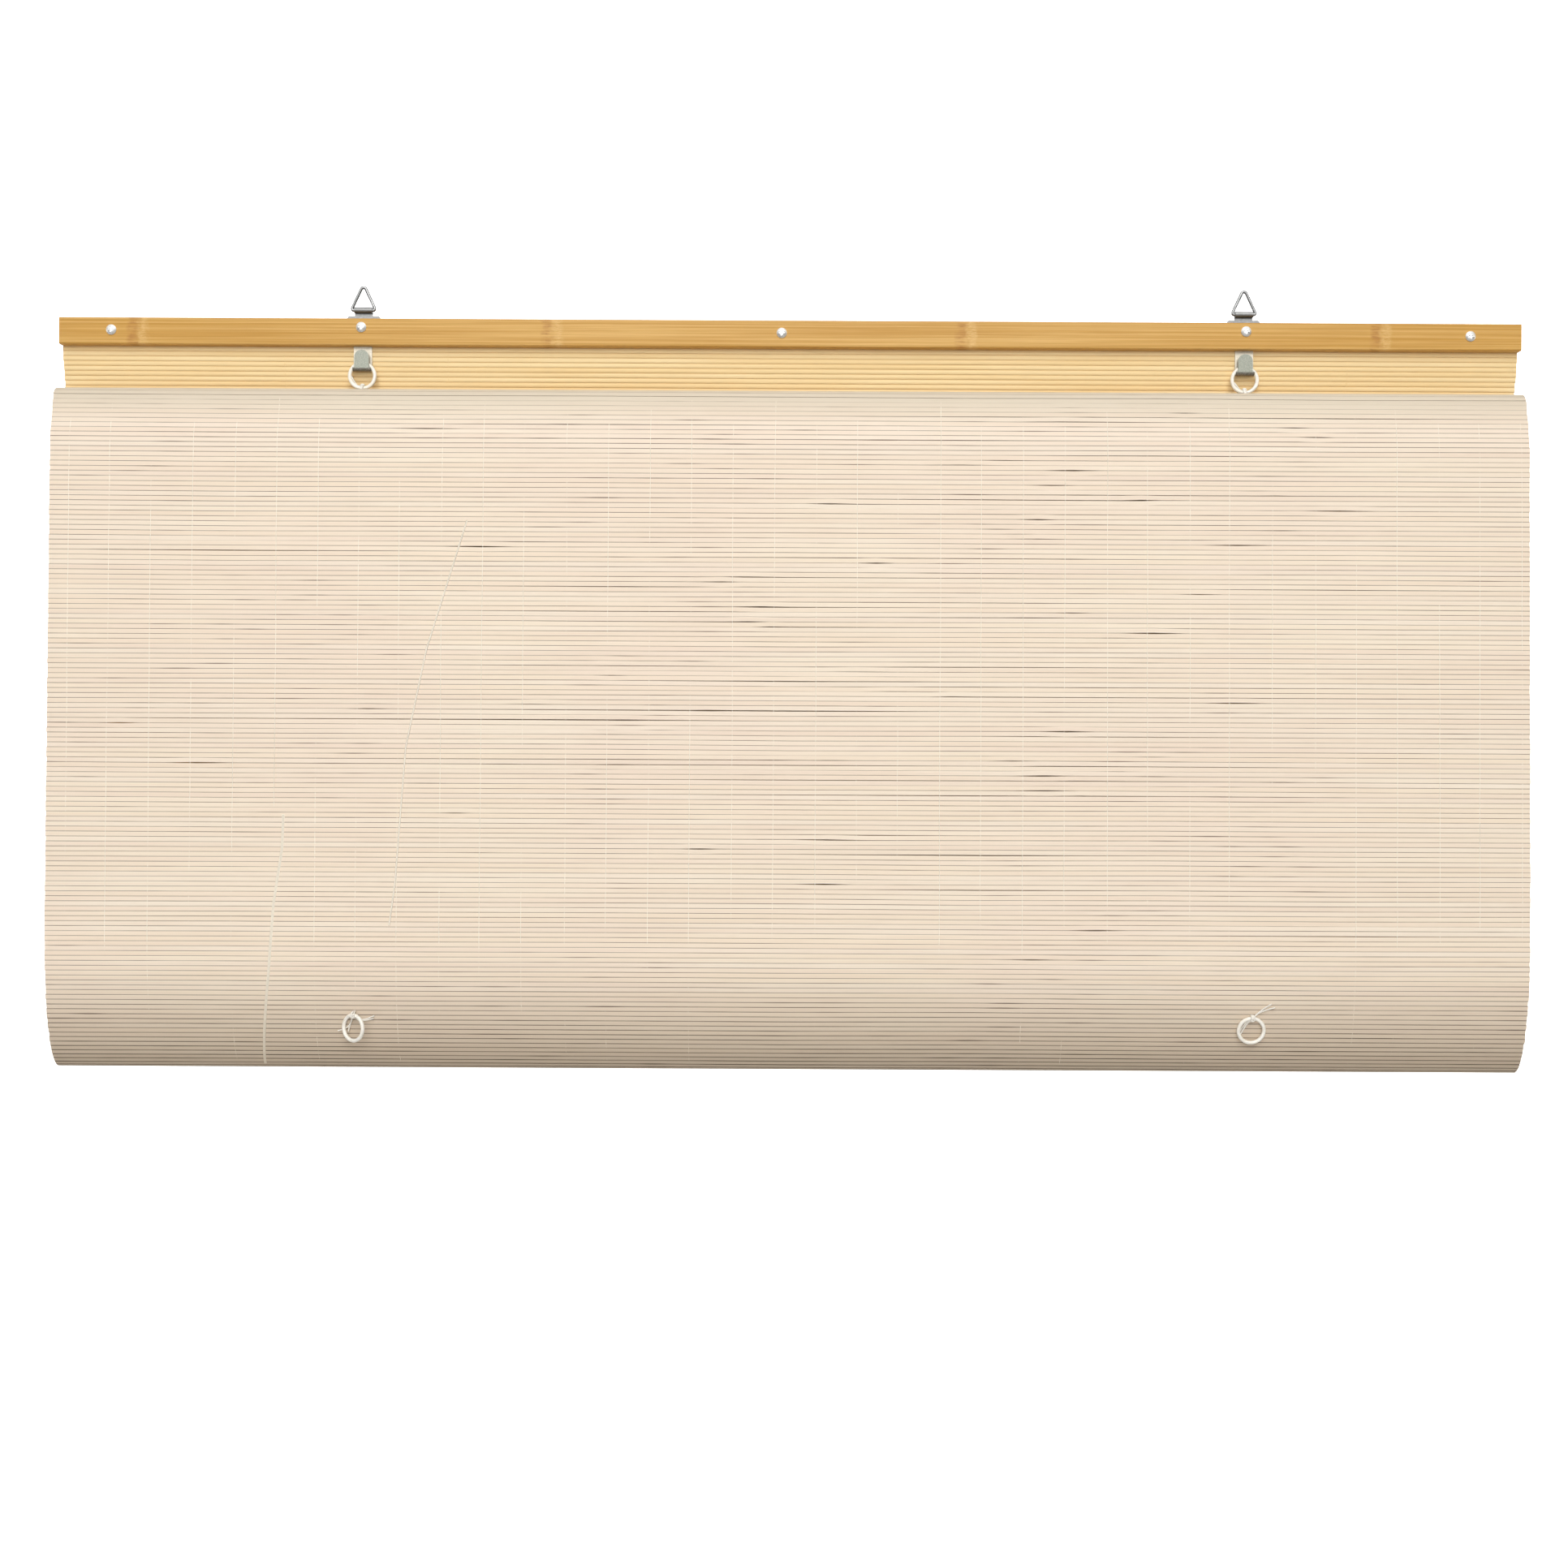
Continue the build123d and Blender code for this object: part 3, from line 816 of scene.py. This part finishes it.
def slit_mask(tree, x, row, patch):
    """Lens-shaped lengths of a seam that stand open and get wider, darker painted shade, more of them where
    the mat is loose.
    """
    stagger = add(tree, "ShaderNodeTexWhiteNoise", noise_dimensions="1D")
    tree.links.new(row, stagger.inputs["W"])
    cells = math_node(tree, "DIVIDE", x, SLIT_LENGTH)
    cells = math_node(tree, "MULTIPLY_ADD", stagger.outputs["Value"], SLIT_STAGGER, cells)
    lens = ramp(tree, math_node(tree, "PINGPONG", cells, 0.5), low=0.05, high=0.5)
    draw = tree.nodes.new("ShaderNodeTexWhiteNoise")
    tree.links.new(vector_of(tree, math_node(tree, "FLOOR", cells), row), draw.inputs["Vector"])
    loose = ramp(tree, patch, low=0.42, high=0.66, to_low=-0.15, to_high=0.10)
    is_open = ramp(tree, math_node(tree, "ADD", draw.outputs["Value"], loose), low=0.62, high=1.1)
    return times(tree, is_open, lens)


def seam_shade_mask(tree, grain, off_seam, gap, low_shade):
    """Painted shade along each seam, wider and darker at open slits and in the painted shade of the low
    curve.
    """
    fade = noise(tree, grain["Vector"], Scale=1.1, Detail=3.0)
    line = ramp(tree, fade, low=0.36, high=0.64, to_low=0.58, to_high=0.98)
    reach = math_node(tree, "MULTIPLY_ADD", gap, 0.06, 0.10)
    reach = math_node(tree, "MULTIPLY_ADD", low_shade, 0.06, reach)
    near = math_node(tree, "SUBTRACT", 1.0, math_node(tree, "DIVIDE", off_seam, reach))
    return times(tree, ramp(tree, near, low=0.0, high=0.7), math_node(tree, "MULTIPLY_ADD", gap, 0.20, line))


def slat_bamboo():
    """Raw slats: pale pith on one face, yellow rind on the other, each slat with its own tint."""
    material, tree, surface = shader("slat_bamboo")
    place = object_place(tree)
    x, y, z = axes(tree, place)
    tone = mark(tree, "tone")
    side = mark(tree, "side")
    seam = mark(tree, "seam")
    own_place = vector_of(tree, x, tone, times(tree, side, SIDE_SHIFT))
    grain = fibre(tree, own_place, along=10.0, across=900.0)
    patch = noise(tree, place, Scale=5.0, Detail=2.0)
    row = math_node(tree, "ROUND", seam)
    off_seam = math_node(tree, "ABSOLUTE", math_node(tree, "SUBTRACT", seam, row))
    # Painted shade on the low curve
    low_shade = low_shade_mask(tree, z)
    on_front = ramp(tree, y, *CREST_SHADE_BACK, to_low=1.0, to_high=0.0)
    # Painted shade: the top of the fold is painted darker, and its seam shade fainter
    crest = times(tree, ramp(tree, z, *CREST_SHADE_EDGES), on_front)
    dark = seam_shade_mask(tree, grain, off_seam, slit_mask(tree, x, row, patch), low_shade)
    dark = times(tree, dark, ramp(tree, crest, low=0.0, high=1.0, to_low=1.0, to_high=0.35))

    pith = mix(tree, grain["Streak"], PITH_CREAM, PITH_STREAK)
    for mask, strength, tint in (
        (tone, 0.5, PITH_TINT),
        (ramp(tree, patch, low=0.35, high=0.65), 0.35, PITH_WARM),
        (grain["Line"], 0.10, PITH_LINE),
        # Painted shade on the top of the fold
        (crest, 0.75, PITH_CREST_SHADE),
        # Painted shade on the low curve
        (low_shade, 0.72, PITH_LOW_SHADE),
    ):
        pith = mix(tree, times(tree, mask, strength), pith, tint)
    # Painted shade in the seams between slats, darker on the low curve
    pith = mix(tree, dark, pith, mix(tree, low_shade, SEAM_SHADE, SEAM_LOW_SHADE))

    rind = mix(tree, grain["Streak"], RIND_YELLOW, RIND_STREAK)
    rind = mix(tree, times(tree, tone, 0.4), rind, RIND_TINT)
    # Painted shade in the grooves between rind edges
    groove_shade = ramp(tree, off_seam, low=0.02, high=0.26, to_low=0.30, to_high=0.0)
    rind = mix(tree, groove_shade, rind, RIND_GROOVE_SHADE)

    colour = mix(tree, ramp(tree, side, low=-0.55, high=-0.2), rind, pith)
    tree.links.new(colour, surface.inputs["Base Color"])
    rough = ramp(tree, grain["Line"], low=0, high=1, to_low=0.62, to_high=0.75)
    tree.links.new(rough, surface.inputs["Roughness"])
    surface.inputs["Specular IOR Level"].default_value = 0.25
    bump(tree, surface, grain["Height"], strength=0.08, distance=0.0003)
    return material


# Steel, plastic, thread and paint

def finish_steel(tree, surface, place, colour, roughness, marks):
    """Bare metal with fine scratches in its roughness and relief."""
    scratch = fibre(tree, place, along=300.0, across=5200.0)
    surface.inputs["Metallic"].default_value = 1.0
    tree.links.new(colour, surface.inputs["Base Color"])
    rough = math_node(tree, "MULTIPLY_ADD", scratch["Line"], marks, roughness)
    tree.links.new(rough, surface.inputs["Roughness"])
    bump(tree, surface, scratch["Height"], strength=0.05, distance=0.0001)


def plated_steel(name, colour, roughness, marks):
    """Plated steel with slightly darker clouds."""
    material, tree, surface = shader(name)
    place = object_place(tree)
    cloud = noise(tree, place, Scale=420.0, Detail=4.0, Roughness=0.6)
    shade = mix(tree, ramp(tree, cloud, low=0.35, high=0.7), colour, tuple(c * 0.82 for c in colour))
    finish_steel(tree, surface, place, shade, roughness, marks)
    return material


def hook_steel():
    """Plated strip of the ring hooks with mottled spots, in painted light and shade: lit behind, painted
    shade on the tongue, darker painted shade in the bend.
    """
    material, tree, surface = shader("hook_steel")
    place = object_place(tree)
    _, y, z = axes(tree, place)
    low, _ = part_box("ring_hook_left")
    tongue = ramp(tree, y, *(low[1] + depth for depth in TONGUE_DEPTHS), to_low=1.0, to_high=0.0)
    bend = ramp(tree, z, *(low[2] + height for height in BEND_HEIGHTS), to_low=1.0, to_high=0.0)
    mottle = noise(tree, place, Scale=900.0, Detail=3.0, Roughness=0.6)
    spots = ramp(tree, mottle, low=0.38, high=0.66)
    # Painted light and shade: lit and shaded copies of the same mottled steel
    bright, shaded_tongue, shaded_bend = (mix(tree, spots, *pair) for pair in (HOOK_LIT_PLATING, HOOK_TONGUE_SHADE, HOOK_BEND_SHADE))
    colour = mix(tree, bend, mix(tree, tongue, bright, shaded_tongue), shaded_bend)
    finish_steel(tree, surface, place, colour, roughness=0.44, marks=0.12)
    return material


def ring_plastic():
    material, tree, surface = shader("ring_plastic")
    cloud = noise(tree, object_place(tree), Scale=300.0, Detail=3.0)
    shade = mix(tree, ramp(tree, cloud, low=0.3, high=0.7), RING_WHITE, RING_CREAM)
    tree.links.new(shade, surface.inputs["Base Color"])
    rough = ramp(tree, cloud, low=0.3, high=0.7, to_low=0.34, to_high=0.46)
    tree.links.new(rough, surface.inputs["Roughness"])
    surface.inputs["Subsurface Weight"].default_value = 0.1
    surface.inputs["Subsurface Radius"].default_value = (0.002, 0.002, 0.0015)
    bump(tree, surface, cloud, strength=0.05, distance=0.0002)
    return material


def cotton_thread(name, dark, pale, shade_share=0.0):
    """Twisted thread, with painted shade by a given share where it lies on the low curve."""
    material, tree, surface = shader(name)
    place = object_place(tree)
    _, _, z = axes(tree, place)
    twist = add(tree, "ShaderNodeTexWave", Scale=650.0, Distortion=2.0, Detail=2.0)
    twist.bands_direction = "DIAGONAL"
    tree.links.new(place, twist.inputs["Vector"])
    shade = mix(tree, twist.outputs["Fac"], dark, pale)
    # Painted shade on the low curve
    shade = mix(tree, low_shade_mask(tree, z, shade_share), shade, THREAD_LOW_SHADE)
    tree.links.new(shade, surface.inputs["Base Color"])
    surface.inputs["Roughness"].default_value = 0.85
    bump(tree, surface, twist.outputs["Fac"], strength=0.3, distance=0.0002)
    return material


def pale_stage(name, colour):
    """Pale paint that looks evenly lit to the camera and throws back little light."""
    material, tree, surface = shader(name)
    cloud = noise(tree, object_place(tree), Scale=3.0, Detail=3.0)
    paint = mix(tree, cloud, colour, tuple(c * 0.96 for c in colour))
    tree.links.new(paint, surface.inputs["Base Color"])
    surface.inputs["Roughness"].default_value = 0.9
    seen = tree.nodes.new("ShaderNodeLightPath").outputs["Is Camera Ray"]
    surface.inputs["Emission Color"].default_value = (1, 1, 1, 1)
    tree.links.new(times(tree, seen, STAGE_SEEN), surface.inputs["Emission Strength"])
    return material


# Camera and studio

def photo_camera():
    bpy.ops.object.camera_add()
    camera = bpy.context.object
    camera.name = "photo_camera"
    camera.data.sensor_width = CAMERA_SENSOR
    camera.data.lens = CAMERA_LENS
    camera.data.clip_end = CAMERA_REACH
    upright = Matrix.Rotation(math.pi / 2, 4, "X")
    roll = Matrix.Rotation(CAMERA_ROLL, 4, "Z")
    camera.matrix_world = Matrix.Translation(CAMERA_PLACE) @ upright @ roll
    bpy.context.scene.camera = camera


def stage():
    clear_selection()
    bpy.ops.mesh.primitive_plane_add(size=STAGE_SIZE, location=FLOOR_PLACE)
    floor = bpy.context.object
    floor.name = "studio_floor"
    dress(floor, pale_stage("studio_floor_paint", FLOOR_PAINT))
    bpy.ops.mesh.primitive_plane_add(size=STAGE_SIZE, location=WALL_PLACE, rotation=(math.pi / 2, 0, 0))
    wall = bpy.context.object
    wall.name = "studio_wall"
    dress(wall, pale_stage("studio_wall_paint", WALL_PAINT))


def lights():
    for name, place, size, power in LIGHTS:
        bpy.ops.object.light_add(type="AREA", location=place)
        light = bpy.context.object
        light.name = name
        light.data.size = size
        light.data.energy = power
        light.visible_camera = False
        aim = Vector(LIGHT_TARGET) - Vector(place)
        light.rotation_euler = aim.to_track_quat("-Z", "Y").to_euler()


def air():
    """Faint light all round, a bright sky in what shines, and a pale backdrop for the camera."""
    world = bpy.data.worlds.new("studio_air")
    world.use_nodes = True
    tree = world.node_tree
    _, _, height = axes(tree, tree.nodes.new("ShaderNodeTexCoord").outputs["Generated"])
    path = tree.nodes.new("ShaderNodeLightPath").outputs
    sky = ramp(tree, height, low=-0.4, high=0.6, to_low=0.03, to_high=0.95)
    glow = math_node(tree, "MULTIPLY_ADD", path["Is Glossy Ray"], sky, AIR_LIGHT)
    glow = math_node(tree, "MULTIPLY_ADD", path["Is Camera Ray"], AIR_SEEN, glow)
    background = tree.nodes["Background"].inputs
    background[0].default_value = (1, 1, 1, 1)
    tree.links.new(glow, background[1])
    bpy.context.scene.world = world
    bpy.context.scene.view_settings.view_transform = "Standard"


photo_camera()
stage()
lights()
air()

# Looks of the CAD nodes
strip = bamboo_strip()
slat_wood = slat_bamboo()
hanger_wire = plated_steel("hanger_wire", (0.27, 0.27, 0.268), roughness=0.22, marks=0.14)
plate_steel = plated_steel("plate_steel", (0.25, 0.25, 0.245), roughness=0.40, marks=0.12)
screw_steel = plated_steel("screw_steel", (0.90, 0.90, 0.88), roughness=0.30, marks=0.12)
tongue_steel = hook_steel()
plastic = ring_plastic()
cotton = cotton_thread("tie_cotton", srgb(236, 230, 218), srgb(251, 248, 240))
pale_warp = cotton_thread("pale_warp", srgb(246, 236, 216), srgb(253, 248, 236), shade_share=0.4)
straw_warp = cotton_thread("straw_warp", srgb(230, 196, 138), srgb(246, 220, 168))

for name in ("front_batten", "rear_batten", "bottom_lath"):
    dress(nodes[name], strip)
for side in ("left", "right"):
    dress(nodes[f"hanger_triangle_{side}"], hanger_wire)
    dress(nodes[f"hanger_plate_{side}"], plate_steel)
    dress(nodes[f"ring_hook_{side}"], tongue_steel)
    for part in ("hooked_ring", "drop_ring"):
        dress(nodes[f"{part}_{side}"], plastic)
    for part in ("hooked_tie", "drop_tie"):
        dress(nodes[f"{part}_{side}"], cotton)
dress(nodes["batten_screws"], screw_steel)

# New pieces
for slats in lay_slats():
    dress(slats, slat_wood)
    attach(slats, "blind")
    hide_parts("slat_mat")

for face in (1, -1):
    threads = warp_threads(face)
    dress(threads, pale_warp if face > 0 else straw_warp)
    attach(threads, "blind")

for strand in (pale_tape(), stray_thread()):
    dress(strand, pale_warp)
    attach(strand, "blind")

for name, tails in TIE_TAILS.items():
    ring_name = name.replace("tie", "ring")
    hangs = name.startswith("drop")
    tails = [[by_ring(ring_name, hangs, *place) for place in tail] for tail in tails]
    tie = tied(f"{name}_thread", ring_tie_place(ring_name, hangs), tails)
    dress(tie, cotton)
    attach(tie, "blind")
    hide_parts(name)

bpy.context.view_layer.update()
